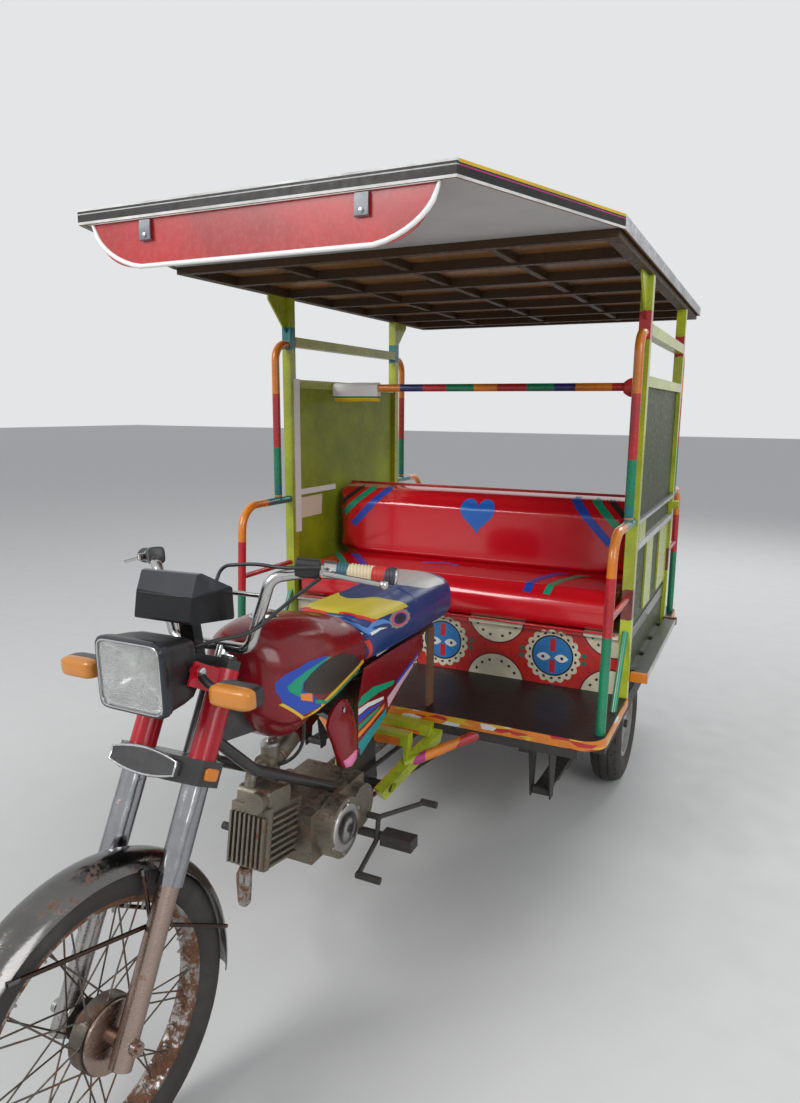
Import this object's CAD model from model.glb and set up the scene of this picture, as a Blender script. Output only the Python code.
import math

import bmesh
import bpy
from mathutils import Matrix, Vector
from mathutils.bvhtree import BVHTree
from mathutils.geometry import delaunay_2d_cdt


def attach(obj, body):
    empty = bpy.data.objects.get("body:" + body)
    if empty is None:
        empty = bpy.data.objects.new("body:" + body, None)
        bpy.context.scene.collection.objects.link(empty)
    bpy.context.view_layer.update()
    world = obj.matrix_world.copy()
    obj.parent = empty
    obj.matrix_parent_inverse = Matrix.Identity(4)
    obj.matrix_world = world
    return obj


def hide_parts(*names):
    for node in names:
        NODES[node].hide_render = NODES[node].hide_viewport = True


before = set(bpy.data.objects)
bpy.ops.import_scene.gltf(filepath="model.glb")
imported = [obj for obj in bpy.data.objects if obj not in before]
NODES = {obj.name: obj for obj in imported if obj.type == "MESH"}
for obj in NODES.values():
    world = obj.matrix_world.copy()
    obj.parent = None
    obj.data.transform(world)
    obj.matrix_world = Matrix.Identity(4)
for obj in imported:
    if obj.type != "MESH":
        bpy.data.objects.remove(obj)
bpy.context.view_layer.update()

# The CAD's own stations, in metres. Bike places are measured back from the front axle and cabin
# places from the rear one.
WHEEL_RADIUS = 0.277
TYRE_REACH = 0.27565
WHEELBASE = 1.902
DECK_REACH = 0.792
EDGE_STRIP = 0.004
LENGTH = TYRE_REACH + WHEELBASE + DECK_REACH + EDGE_STRIP
FRONT_Y = TYRE_REACH - LENGTH / 2
REAR_Y = FRONT_Y + WHEELBASE
TRAIL = 0.075
RAKE = math.radians(27.4)
PARKED_TURN = math.radians(-5.3)
STEER_AXIS = Vector((0, math.sin(RAKE), math.cos(RAKE)))
STEER_FOOT = Vector((0, FRONT_Y - TRAIL, 0))
PARK = (
    Matrix.Translation(STEER_FOOT)
    @ Matrix.Rotation(PARKED_TURN, 4, STEER_AXIS)
    @ Matrix.Translation(-STEER_FOOT)
)

# In millimetres: the heights of the axle and the headlight, and the crankshaft
AXLE_Z = 277
LAMP_Z = 853
CRANK_Y, CRANK_Z = 626, 354
SIDES = ((1, "left"), (-1, "right"))
# The bodies whose pieces are drawn straight ahead and then turned to the parked place
TURNED = ("steering", "front_wheel")


def bike(x, y, z):
    """A place on the motorcycle, given in millimetres."""
    return Vector((x / 1000, FRONT_Y + y / 1000, z / 1000))


def cabin(x, y, z):
    """A place on the cabin, given in millimetres."""
    return Vector((x / 1000, REAR_Y + y / 1000, z / 1000))


def fork(x, up, back=0.0):
    """A place on the straight-ahead fork, given in millimetres up the legs and back from them."""
    s, c = math.sin(RAKE), math.cos(RAKE)
    return bike(x, up * s + back * c, AXLE_Z + up * c - back * s)


# Shaders


class Shader:
    """A Principled material with short calls for its nodes, in object space, the row's frame."""

    def __init__(self, name, colour, rough=0.5, metal=0.0, **sockets):
        self.mat = bpy.data.materials.new(name)
        self.mat.use_nodes = True
        self.nodes = self.mat.node_tree.nodes
        self.links = self.mat.node_tree.links
        self.bsdf = self.nodes["Principled BSDF"]
        self.here = self.nodes.new("ShaderNodeTexCoord").outputs["Object"]
        self.height = None
        self.set("Base Color", colour)
        self.set("Roughness", rough)
        self.set("Metallic", metal)
        for socket, value in sockets.items():
            self.set(socket.replace("_", " "), value)

    def feed(self, node, inputs):
        """Links or sets a node's inputs, which are given by number or name."""
        for key, value in inputs.items():
            socket = node.inputs[key]
            if isinstance(value, bpy.types.NodeSocket):
                self.links.new(value, socket)
            elif isinstance(value, tuple) and len(socket.default_value) == 4:
                socket.default_value = (*value, 1)
            else:
                socket.default_value = value
        return node

    def set(self, socket, value):
        self.feed(self.bsdf, {socket: value})

    def node(self, kind, inputs, output=0, **options):
        """One output of a new node."""
        node = self.nodes.new("ShaderNode" + kind)
        for option, value in options.items():
            setattr(node, option, value)
        return self.feed(node, inputs).outputs[output]

    def math(self, operation, a, b=0.0):
        return self.node("Math", {0: a, 1: b}, operation=operation)

    def axis(self, letter):
        return self.node("SeparateXYZ", {0: self.here}, "XYZ".index(letter))

    def stretch(self, scale):
        return self.node("Mapping", {"Vector": self.here, "Scale": scale})

    def noise(self, scale, detail=4.0, rough=0.55, at=None):
        inputs = {"Vector": at or self.here, "Scale": scale, "Detail": detail, "Roughness": rough}
        return self.node("TexNoise", inputs)

    def cells(self, scale, at=None):
        return self.node("TexVoronoi", {"Vector": at or self.here, "Scale": scale}, 1)

    def ramp(self, value, *stops):
        """Colours in steps: each stop is where its colour starts, and the colour."""
        node = self.nodes.new("ShaderNodeValToRGB")
        band = node.color_ramp
        band.interpolation = "CONSTANT"
        while len(band.elements) < len(stops):
            band.elements.new(0.5)
        for element, (position, colour) in zip(band.elements, stops):
            element.position = position
            element.color = (*colour, 1)
        return self.feed(node, {0: value}).outputs[0]

    def fade(self, value, low, high, start=0.0, end=1.0):
        """Value mapped from low..high to start..end, clamped."""
        return self.node("MapRange", dict(enumerate((value, low, high, start, end))))

    def mix(self, factor, a, b):
        return self.node("Mix", {0: factor, 6: a, 7: b}, 2, data_type="RGBA")

    def blend(self, factor, a, b):
        return self.node("Mix", {0: factor, 2: a, 3: b})

    def bump(self, height, depth, strength):
        """Adds a height, in units of depth metres, to the surface."""
        inputs = {"Strength": strength, "Distance": depth, "Height": height}
        if self.height is not None:
            inputs["Normal"] = self.height
        self.height = self.node("Bump", inputs)
        self.set("Normal", self.height)

    def plus(self, a, b):
        return self.math("ADD", a, b)

    def minus(self, a, b):
        return self.math("SUBTRACT", a, b)

    def size(self, a):
        return self.math("ABSOLUTE", a)

    def both(self, a, b):
        return self.math("MULTIPLY", a, b)

    def either(self, a, b):
        return self.math("MAXIMUM", a, b)

    def over(self, value, limit):
        return self.math("GREATER_THAN", value, limit)

    def under(self, value, limit):
        return self.math("LESS_THAN", value, limit)

    def inside(self, value, low, high):
        """1 where low < value < high, else 0."""
        return self.both(self.over(value, low), self.under(value, high))

    def away(self, a, b):
        """The distance of two offsets."""
        return self.math("SQRT", self.plus(self.both(a, a), self.both(b, b)))


def paint(name, colour, rough=0.3, chips=0.5, dirt=0.35, coat=0.3, pattern=None):
    """Brush paint over steel, with uneven tone, grime and a few chips down to rust.

    pattern(shader) may return the colour as a socket.
    """
    s = Shader(name, colour, rough)
    broad, fine = s.noise(6, 5), s.noise(70, 6, 0.6)
    base = pattern(s) if pattern else colour
    toned = s.mix(s.fade(broad, 0.38, 0.68, 0.35, 0.0), base, (0.02, 0.018, 0.015))
    grime = s.both(s.fade(s.noise(17, 8, 0.7), 0.48, 0.75), dirt)
    dirty = s.mix(grime, toned, (0.06, 0.045, 0.035))
    speck = s.plus(s.noise(38, 7, 0.65), s.both(fine, 0.25))
    chip = s.fade(speck, 0.86 - 0.08 * chips, 0.88 - 0.08 * chips)
    s.set("Base Color", s.mix(chip, dirty, (0.12, 0.055, 0.03)))
    s.set("Roughness", s.blend(chip, s.fade(fine, 0.3, 0.8, rough * 0.75, rough * 1.5), 0.85))
    s.set("Coat Weight", coat)
    s.set("Coat Roughness", 0.12)
    s.bump(s.minus(s.both(broad, 0.6), chip), 0.0006, 0.5)
    return s


def metal(name, colour, rough=0.25, rust=0.0, scale=1.0, dents=0.0):
    """Bright metal with scratches and patches of rust; rust runs from 0, none, to 1, nearly all."""
    s = Shader(name, colour, rough, 1.0)
    cloud = s.noise(22 * scale, 9, 0.68)
    pit = s.noise(160 * scale, 5, 0.6)
    spread = s.plus(s.both(cloud, 0.75), s.both(pit, 0.25))
    edge = 0.74 - 0.36 * rust
    spot = s.fade(spread, edge - 0.03, edge + 0.04)
    scratch = s.noise(60 * scale, 3, 0.5, s.stretch((1, 1, 14)))
    dull = tuple(c * 0.72 for c in colour)
    brown = s.mix(s.fade(pit, 0.35, 0.7), (0.085, 0.035, 0.02), (0.20, 0.095, 0.05))
    s.set("Base Color", s.mix(spot, s.mix(s.fade(cloud, 0.3, 0.75), dull, colour), brown))
    s.set("Metallic", s.blend(spot, 1.0, 0.25))
    s.set("Roughness", s.blend(spot, s.fade(scratch, 0.3, 0.75, rough * 0.7, rough * 1.7), 0.8))
    s.bump(s.plus(s.both(spot, 0.5), s.both(pit, 0.3)), 0.0004, 0.5)
    if dents:
        s.bump(s.noise(14, 2, 0.4), dents, 0.6)
    return s


def plain(name, colour, rough=0.5, grain=220, depth=0.0002, tone=0.25, pattern=None, **sockets):
    """Moulded plastic, vinyl or rubber: a fine grain and faint dust."""
    s = Shader(name, colour, rough, **sockets)
    dust = s.noise(9, 6, 0.6)
    fine = s.noise(grain, 3, 0.5)
    base = pattern(s) if pattern else colour
    pale = tuple(min(1, c * 0.6 + 0.10) for c in colour)
    s.set("Base Color", s.mix(s.both(s.fade(dust, 0.5, 0.8), tone), base, pale))
    s.set("Roughness", s.fade(dust, 0.3, 0.8, rough * 0.85, min(1, rough * 1.25)))
    s.bump(fine, depth, 0.5)
    return s


YELLOW_GREEN = (0.44, 0.51, 0.022)
OLIVE = (0.045, 0.065, 0.018)
RED = (0.56, 0.014, 0.022)
MAROON = (0.24, 0.003, 0.010)
ORANGE = (0.84, 0.24, 0.012)
GREEN = (0.0, 0.24, 0.11)
TEAL = (0.0, 0.20, 0.20)
NAVY = (0.010, 0.025, 0.16)
BLUE = (0.012, 0.10, 0.50)
CREAM = (0.74, 0.68, 0.50)
YELLOW = (0.80, 0.52, 0.02)
BLACK = (0.012, 0.012, 0.012)
WHITE = (0.80, 0.80, 0.78)
SILVER = (0.58, 0.58, 0.58)
RUST = (0.16, 0.07, 0.04)
CRIMSON = (0.5, 0.02, 0.22)


def bands(s, value, low, stops):
    """Colours in steps along a value, from low on: stops are (end of band, colour)."""
    high = stops[-1][0]
    starts = [low] + [end for end, _ in stops[:-1]]
    level = s.fade(value, low, high)
    return s.ramp(level, *[((a - low) / (high - low), c) for a, (_, c) in zip(starts, stops)])


def hoop_colours(s):
    """Orange at the bends, then red and green downwards, and green and red rails."""
    z = s.axis("Z")
    reach = s.size(s.minus(s.axis("Y"), REAR_Y))
    stops = [(0.72, GREEN), (0.876, RED), (1.012, ORANGE), (1.045, TEAL), (1.17, GREEN)]
    column = bands(s, z, 0.45, stops + [(1.352, RED), (1.54, ORANGE)])
    rail = s.both(s.inside(z, 0.979, 1.007), s.under(reach, 0.56))
    seat_rail = s.both(s.inside(z, 0.754, 0.776), s.under(reach, 0.675))
    return s.mix(seat_rail, s.mix(rail, column, TEAL), RED)


def frame_colours(s):
    """Yellow-green with painted joints high on the posts and a dark red band at seat level."""
    x, z = s.axis("X"), s.axis("Z")
    post = s.over(s.size(s.minus(s.axis("Y"), REAR_Y)), 0.385)
    wave = s.plus(z, s.both(s.minus(s.noise(30), 0.5), 0.02))
    joint = s.both(post, s.inside(wave, 1.50, 1.575))
    seat = s.both(s.both(post, s.over(x, 0.0)), s.inside(wave, 0.70, 0.79))
    colour = s.mix(joint, YELLOW_GREEN, s.mix(s.over(x, 0.0), TEAL, RED))
    return s.mix(seat, colour, s.mix(0.5, MAROON, RUST))


def panel_colours(s):
    outer = s.over(s.size(s.axis("X")), 0.588)
    inner = s.mix(s.fade(s.noise(4, 3), 0.3, 0.7), (0.24, 0.31, 0.008), (0.33, 0.41, 0.010))
    return s.mix(outer, inner, OLIVE)


def bar_colours(s):
    edges = [(-0.499, BLUE), (-0.458, RED), (-0.340, ORANGE), (-0.270, NAVY), (-0.175, GREEN)]
    edges += [(-0.073, RED), (0.013, ORANGE), (0.114, GREEN), (0.206, RED), (0.293, NAVY)]
    return bands(s, s.both(s.axis("X"), -1.0), -0.60, edges + [(0.60, ORANGE)])


def tow_colours(s):
    """The outer braces are orange with paint splashes and the box members yellow-green."""
    x = s.size(s.axis("X"))
    along = s.fade(s.axis("Y"), FRONT_Y + 0.916, FRONT_Y + 1.14, 0.062, 0.156)
    brace = s.over(s.minus(x, along), 0.024)
    stops = [(0.0, ORANGE), (0.45, ORANGE), (0.62, RED), (0.74, WHITE), (0.82, CRIMSON)]
    inner = s.both(s.over(s.minus(along, x), 0.012), s.under(s.axis("Z"), 0.42))
    body = s.mix(inner, YELLOW_GREEN, s.mix(0.25, ORANGE, RED))
    return s.mix(brace, body, s.ramp(s.cells(26), *stops))


def edge_colours(s):
    stops = [(0.0, ORANGE), (0.42, YELLOW), (0.55, RED), (0.68, WHITE), (0.75, ORANGE)]
    return s.ramp(s.cells(38, s.stretch((0.5, 0.5, 2.2))), *stops)


def trim_colours(s):
    """Yellow-green pressed fields between bright rails, on a dark plate."""
    z = s.axis("Z")
    field = s.either(s.inside(z, 0.672, 0.902), s.inside(z, 0.9225, 0.982))
    rail = s.either(s.inside(z, 0.902, 0.9225), s.inside(z, 0.982, 0.992))
    rail = s.either(s.inside(z, 0.660, 0.672), rail)
    colour = s.mix(field, (0.030, 0.036, 0.022), YELLOW_GREEN)
    return s.mix(rail, colour, (0.60, 0.60, 0.60))


def guard_colours(s):
    """Dark tops between bright edges, with an orange front end and a brown rear one."""
    x, y = s.size(s.axis("X")), s.axis("Y")
    colour = s.mix(s.over(x, 0.649), (0.030, 0.034, 0.022), (0.55, 0.55, 0.54))
    colour = s.mix(s.under(y, FRONT_Y + 1.552), colour, ORANGE)
    return s.mix(s.over(y, FRONT_Y + 2.252), colour, RUST)


def meter_colours(s):
    """The instrument's upper facets are paler than its glossy underside."""
    return s.mix(s.over(s.axis("Z"), 0.981), (0.008, 0.008, 0.009), (0.040, 0.043, 0.048))


def tint_part(shader, mask, colour, share=1.0):
    """Lays a colour over part of a finished material."""
    below = shader.bsdf.inputs["Base Color"].links[0].from_socket
    shader.set("Base Color", shader.mix(shader.both(mask, share), below, colour))


def board_pattern(s):
    """Half circles along the edges and ringed rosettes between them, on red."""
    x, z = s.axis("X"), s.axis("Z")
    u, v = s.math("PINGPONG", s.plus(x, 0.74), 0.185), s.minus(z, 0.553)
    colour = s.mix(s.fade(s.noise(12, 4), 0.3, 0.75), (0.50, 0.012, 0.012), (0.66, 0.03, 0.02))
    side = s.minus(u, 0.185)
    for centre in (0.667, 0.437):
        high = s.minus(z, centre)
        gap, turn = s.away(side, high), s.math("ARCTAN2", high, side)
        cream = s.under(gap, 0.094)
        dots = s.both(s.inside(gap, 0.071, 0.079), s.over(s.math("COSINE", s.both(turn, 17)), 0.55))
        edge = s.both(s.under(gap, 0.099), s.minus(1.0, cream))
        for mask, tone in ((edge, (0.16, 0.008, 0.01)), (cream, CREAM), (dots, BLACK)):
            colour = s.mix(mask, colour, tone)
    gap = s.away(u, v)
    lobes = s.size(s.math("SINE", s.both(s.math("ARCTAN2", v, u), 9)))
    dots = s.both(s.inside(gap, 0.070, 0.077), s.over(lobes, 0.86))
    offset, low = s.minus(u, 0.028), s.plus(v, 0.006)
    leaf = s.minus(0.013, s.both(s.both(offset, offset), 26))
    leaf = s.both(s.under(s.size(low), leaf), s.under(u, 0.052))
    bud = s.away(s.minus(u, 0.098), s.minus(s.size(v), 0.012))
    for mask, tone in (
        (s.under(gap, s.plus(0.080, s.both(lobes, 0.009))), CREAM),
        (dots, BLACK),
        (s.under(gap, 0.066), BLACK),
        (s.under(gap, 0.061), (0.02, 0.20, 0.52)),
        (s.both(s.under(u, 0.009), s.inside(s.size(v), 0.014, 0.055)), RED),
        (leaf, WHITE),
        (s.under(s.away(s.minus(u, 0.030), low), 0.005), BLACK),
        (s.under(bud, 0.008), (0.03, 0.16, 0.12)),
    ):
        colour = s.mix(mask, colour, tone)
    return colour


def roof_colours(s):
    """Dark fascia between bright lines in front, silver at the sides, weathered sheet on top."""
    z = s.axis("Z")
    worn = s.mix(s.fade(s.noise(5, 8), 0.35, 0.7), (0.34, 0.32, 0.28), (0.52, 0.50, 0.45))
    ahead = s.under(s.axis("Y"), REAR_Y - 0.932)
    tapered = s.both(ahead, s.over(s.size(s.axis("X")), 0.4325))
    stops = [(1.689, WHITE), (1.7035, BLACK), (1.7055, SILVER), (1.710, BLACK), (1.7132, WHITE)]
    lip = bands(s, z, 1.680, stops + [(1.72, WHITE)])
    lip = s.mix(s.both(tapered, s.over(z, 1.7085)), lip, YELLOW)
    lip = s.mix(s.both(tapered, s.inside(z, 1.7035, 1.7055)), lip, CRIMSON)
    side = s.mix(s.fade(s.noise(60, 4), 0.4, 0.7), (0.36, 0.36, 0.37), (0.66, 0.66, 0.68))
    normal = s.node("NewGeometry", {}, "Normal")
    level = s.node("SeparateXYZ", {0: normal}, 2)
    colour = s.mix(s.over(level, 0.6), s.mix(ahead, side, lip), worn)
    under = s.mix(s.fade(s.noise(7, 6), 0.3, 0.7), (0.17, 0.075, 0.016), (0.30, 0.14, 0.035))
    return s.mix(s.under(level, -0.6), colour, under)


M = {
    "rusty_chrome": metal("rusty_chrome", (0.50, 0.48, 0.46), 0.24, 0.78),
    "bar_chrome": metal("bar_chrome", (0.60, 0.59, 0.58), 0.18, 0.36),
    "guard_chrome": metal("mudguard_chrome", (0.19, 0.185, 0.18), 0.15, 0.42, 0.7),
    "chrome": metal("worn_chrome", (0.72, 0.72, 0.73), 0.14, 0.18),
    "cover_chrome": metal("cover_chrome", (0.38, 0.38, 0.40), 0.13, 0.30, dents=0.006),
    "coppery": metal("coppery_slider", (0.40, 0.39, 0.38), 0.26, 0.35),
    "oily_alloy": metal("oily_alloy", (0.30, 0.27, 0.22), 0.46, 0.45),
    "polished": metal("polished_alloy", (0.66, 0.65, 0.62), 0.16, 0.12),
    "hub": metal("rusty_hub", (0.17, 0.15, 0.13), 0.45, 0.55),
    "trims": paint("side_trims", YELLOW_GREEN, 0.28, 0.15, 0.15, coat=0.3, pattern=trim_colours),
    "guards": paint("side_guards", OLIVE, 0.35, 0.15, 0.2, coat=0.1, pattern=guard_colours),
    "meter": plain(
        "meter_shell", (0.02, 0.02, 0.02), 0.20, 260, 0.0001, 0.10, pattern=meter_colours
    ),
    "steel": metal("bare_steel", (0.50, 0.49, 0.47), 0.3, 0.30),
    "black_paint": paint("black_paint", (0.016, 0.016, 0.018), 0.35, 0.3),
    "dark_steel": paint("dark_steel", (0.035, 0.033, 0.032), 0.6, 0.6, 0.6, coat=0.0),
    "candy_red": paint("candy_red", (0.52, 0.003, 0.018), 0.22, 0.05, 0.06, coat=0.3),
    "black_plastic": plain("black_plastic", (0.015, 0.015, 0.016), 0.38),
    "gloss_black": plain("gloss_black", (0.018, 0.022, 0.026), 0.14, tone=0.05),
    "green_paint": paint(
        "yellow_green_paint", YELLOW_GREEN, 0.26, 0.15, 0.15, pattern=frame_colours
    ),
    "tow_paint": paint("tow_paint", YELLOW_GREEN, 0.3, 0.5, 0.45, pattern=tow_colours),
    "edge_paint": paint("edge_paint", ORANGE, 0.35, 0.5, 0.3, pattern=edge_colours),
    "hoop_paint": paint("hoop_paint", ORANGE, 0.25, 0.3, 0.2, pattern=hoop_colours),
    "bar_paint": paint("bar_paint", ORANGE, 0.3, 0.1, 0.15, pattern=bar_colours),
    "olive": paint("olive_paint", OLIVE, 0.45, 0.15, 0.15, coat=0.02, pattern=panel_colours),
    "brown_paint": paint("brown_paint", (0.22, 0.10, 0.05), 0.5, 0.6, 0.5, coat=0.1),
    "silver": paint("silver_paint", (0.42, 0.42, 0.41), 0.4, 0.4, 0.5),
    "deck_rubber": plain("deck_rubber", (0.007, 0.007, 0.007), 0.40, 110, 0.0020, 0.12),
    "tyre": plain("tyre_rubber", (0.030, 0.026, 0.022), 0.75, 300, 0.0004, 0.5),
    "roof": paint("roof_sheet", (0.42, 0.40, 0.36), 0.4, 0.2, 0.4, coat=0.0, pattern=roof_colours),
    "roof_brown": paint("roof_brown", (0.060, 0.030, 0.011), 0.55, 0.2, 0.3, coat=0.0),
    "ceiling": plain("ceiling_sheet", (0.42, 0.43, 0.42), 0.4, 30, 0.0004, 0.3),
    "sign_red": paint("sign_red", (0.50, 0.022, 0.025), 0.25, 0.1, 0.15),
    "strap_grey": paint("strap_grey", (0.16, 0.18, 0.21), 0.4, 0.3, 0.3),
    "board": paint("painted_board", RED, 0.3, 0.15, 0.25, coat=0.2, pattern=board_pattern),
    "red_vinyl": plain(
        "red_vinyl", (0.56, 0.006, 0.014), 0.15, 260, 0.00012, 0.04, Coat_Weight=0.5,
        Coat_Roughness=0.1,
    ),
    "blue_vinyl": plain("blue_vinyl", (0.018, 0.045, 0.17), 0.30, 420, 0.0003, 0.10),
    "maroon": paint("maroon_metallic", MAROON, 0.22, 0.03, 0.08, coat=0.35),
    "amber": plain(
        "amber_lens", (0.85, 0.26, 0.02), 0.16, 40, 0.0003, 0.05, Transmission_Weight=0.25
    ),
    "worn_amber": plain(
        "worn_amber_lens", (0.80, 0.30, 0.045), 0.22, 90, 0.0006, 0.35, Transmission_Weight=0.3
    ),
    "pink": plain("pink_lens", (0.80, 0.22, 0.42), 0.2, 40, 0.0003, 0.05),
    "lens_glass": plain(
        "lens_glass", (0.90, 0.92, 0.90), 0.09, 60, 0.0001, 0.25, Transmission_Weight=0.80, IOR=1.45
    ),
    "reflector": metal("reflector", (0.80, 0.81, 0.82), 0.22, 0.03),
    "bulb": plain("bulb_glass", (0.75, 0.72, 0.62), 0.1, 90, 0.0001, 0.0),
    "dial": plain("dial_face", (0.02, 0.02, 0.022), 0.5, 200, 0.0001, 0.0),
    "white_ink": plain("white_ink", (0.82, 0.82, 0.80), 0.5, 200, 0.0001, 0.0),
}
for tag, colour in (
    ("blue", (0.012, 0.06, 0.42)),
    ("green", (0.0, 0.30, 0.16)),
    ("yellow", (0.78, 0.46, 0.02)),
    ("orange", ORANGE),
    ("black", (0.02, 0.02, 0.02)),
    ("white", (0.72, 0.72, 0.72)),
    ("teal", (0.0, 0.26, 0.28)),
    ("cream", CREAM),
    ("light_blue", (0.10, 0.26, 0.62)),
    ("heart", (0.012, 0.12, 0.48)),
    ("badge_black", (0.030, 0.022, 0.018)),
    ("pink_white", (0.66, 0.42, 0.50)),
    ("leaf_yellow", (0.62, 0.50, 0.04)),
    ("grey_panel", (0.46, 0.46, 0.44)),
    ("red_ink", (0.62, 0.03, 0.02)),
    ("grey_green", (0.24, 0.29, 0.24)),
    ("rose", (0.58, 0.10, 0.17)),
    ("cloth_blue", (0.014, 0.036, 0.15)),
):
    M[tag] = plain(
        "ink_" + tag, colour, 0.36, 260, 0.00012, 0.08, Coat_Weight=0.12, Coat_Roughness=0.2
    )

fore = M["guard_chrome"]
reach = fore.away(
    fore.minus(fore.axis("Y"), FRONT_Y),
    fore.minus(fore.axis("Z"), WHEEL_RADIUS),
)
tint_part(fore, fore.under(reach, 0.262), (0.060, 0.030, 0.018), 0.85)
legs = M["coppery"]
tint_part(legs, legs.over(legs.axis("X"), 0.0), (0.36, 0.20, 0.13), 0.5)

for name in ("olive", "maroon", "candy_red", "roof", "roof_brown", "meter", "deck_rubber"):
    M[name].set("Specular IOR Level", 0.3)


FINISH = {
    "rusty_chrome": "front_rim exhaust",
    "hub": "front_hub",
    "coppery": "fork_sliders",
    "cover_chrome": "fork_covers",
    "black_paint": "fork_yokes bike_frame",
    "candy_red": "headlight_ears",
    "bar_chrome": "handlebar",
    "guard_chrome": "front_mudguard",
    "silver": "rear_wheel_left rear_wheel_right",
    "oily_alloy": "engine",
    "dark_steel": "foot_controls underframe spring_hangers leaf_springs rear_axle chain_drive",
    "tow_paint": "tow_frame",
    "brown_paint": "seat_posts",
    "deck_rubber": "decks",
    "edge_paint": "deck_edges",
    "board": "seat_box",
    "green_paint": "side_frames",
    "olive": "side_panels",
    "trims": "side_trims",
    "guards": "side_guards",
    "meter": "speedometer",
    "hoop_paint": "upper_hoops lower_hoops hoop_rails",
    "bar_paint": "head_bar",
    "roof": "roof_panel",
    "roof_brown": "roof_ribs roof_rails",
    "ceiling": "front_ceiling",
    "sign_red": "sign_board",
}


def carry_materials():
    """Gives every shown CAD node its finish, which is black plastic unless FINISH names it."""
    finish = {name: key for key, names in FINISH.items() for name in names.split()}
    for name, node in NODES.items():
        node.data.materials.clear()
        node.data.materials.append(M[finish.get(name, "black_plastic")].mat)


# Mesh tools


def new_object(name, data):
    """An object that shows its data in the scene."""
    obj = bpy.data.objects.new(name, data)
    bpy.context.collection.objects.link(obj)
    return obj


def new_mesh(name, verts, faces, turn=None):
    """A mesh of points and faces, turned if need be, whose faces look outwards."""
    data = bpy.data.meshes.new(name)
    data.from_pydata([tuple(v) for v in verts], [], faces)
    data.validate()
    if turn:
        data.transform(turn)
    bm = bmesh.new()
    bm.from_mesh(data)
    bmesh.ops.recalc_face_normals(bm, faces=bm.faces)
    bm.to_mesh(data)
    bm.free()
    return data


def add_mesh(name, verts, faces, material, body="chassis", smooth=True, sharp=35):
    """Makes a piece from points and faces, and puts it on its body."""
    data = new_mesh(name, verts, faces, PARK if body in TURNED else None)
    obj = new_object(name, data)
    data.materials.append(M[material].mat)
    if smooth:
        data.polygons.foreach_set("use_smooth", [True] * len(data.polygons))
        data.set_sharp_from_angle(angle=math.radians(sharp))
    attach(obj, body)
    return obj


def loft(rings, first=True, last=True):
    """Points and faces through rings of equal length, closed at the first and last ring."""
    count = len(rings[0])
    verts = [p for ring in rings for p in ring]
    faces = []
    for a in range(0, len(verts) - count, count):
        for i in range(count):
            j = (i + 1) % count
            faces.append((a + i, a + j, a + count + j, a + count + i))
    if first:
        faces.append(tuple(range(count))[::-1])
    if last:
        faces.append(tuple(range(len(verts) - count, len(verts))))
    return verts, faces


def lathe(centre, axis, profile, steps=48, closed=True):
    """Points and faces of (along, radius) stations turned about an axis."""
    axis = Vector(axis).normalized()
    side = axis.orthogonal().normalized()
    other = axis.cross(side)
    turns = [2 * math.pi * k / steps for k in range(steps)]
    spokes = [side * math.cos(t) + other * math.sin(t) for t in turns]
    rings = [[Vector(centre) + axis * a + spoke * r for spoke in spokes] for a, r in profile]
    return loft(rings, closed, closed)


def prism_of(outline, shift):
    """Points and faces of a flat outline drawn out by a shift."""
    return loft([outline, [p + shift for p in outline]])


def superellipse(half_x, half_z, power, steps):
    points = []
    for k in range(steps):
        t = 2 * math.pi * k / steps
        c, s = math.cos(t), math.sin(t)
        x = half_x * math.copysign(abs(c) ** (2 / power), c)
        points.append((x, half_z * math.copysign(abs(s) ** (2 / power), s)))
    return points


def spline(stations, t):
    """Smoothly interpolates rows of numbers at parameter t from 0 to 1."""
    span = len(stations) - 1
    at = min(t * span, span - 1e-9)
    i = int(at)
    f = at - i
    out = []
    for a, b, c, d in zip(*[stations[max(0, min(span, i + d))] for d in (-1, 0, 1, 2)]):
        square = (2 * a - 5 * b + 4 * c - d) * f * f
        out.append(0.5 * (2 * b + (c - a) * f + square + (3 * b - a - 3 * c + d) * f**3))
    return out


def tube(name, points, radius, material, body="chassis", cyclic=False, smooth=True):
    """A round bar along a smooth line of points."""
    curve = bpy.data.curves.new(name, "CURVE")
    curve.dimensions = "3D"
    curve.bevel_depth = radius
    curve.bevel_resolution = 4
    curve.use_fill_caps = True
    line = curve.splines.new("NURBS" if smooth else "POLY")
    line.points.add(len(points) - 1)
    for point, place in zip(line.points, points):
        place = PARK @ Vector(place) if body in TURNED else Vector(place)
        point.co = (*place, 1)
    if smooth:
        line.order_u = 3
        line.use_endpoint_u = not cyclic
    line.use_cyclic_u = cyclic
    obj = new_object(name, curve)
    curve.materials.append(M[material].mat)
    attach(obj, body)
    return obj


def together(pieces):
    """One set of points and faces from several."""
    verts, faces = [], []
    for points, sides in pieces:
        faces += [tuple(len(verts) + i for i in side) for side in sides]
        verts += points
    return verts, faces


def studs(name, places, axis, radius, height, material, body="chassis", sides=6):
    """Bolt heads or domed studs in one piece, standing on their places along an axis."""
    dome = [(0, radius), (height * 0.7, radius), (height, radius * 0.62)]
    heads = together([lathe(place, axis, dome, sides) for place in places])
    return add_mesh(name, *heads, material, body, sharp=30)


def tree_of(obj):
    """A search tree of an object's final surface."""
    shape = obj.evaluated_get(bpy.context.evaluated_depsgraph_get())
    mesh = shape.to_mesh()
    places = [obj.matrix_world @ v.co for v in mesh.vertices]
    tree = BVHTree.FromPolygons(places, [tuple(p.vertices) for p in mesh.polygons])
    shape.to_mesh_clear()
    return tree


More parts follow.
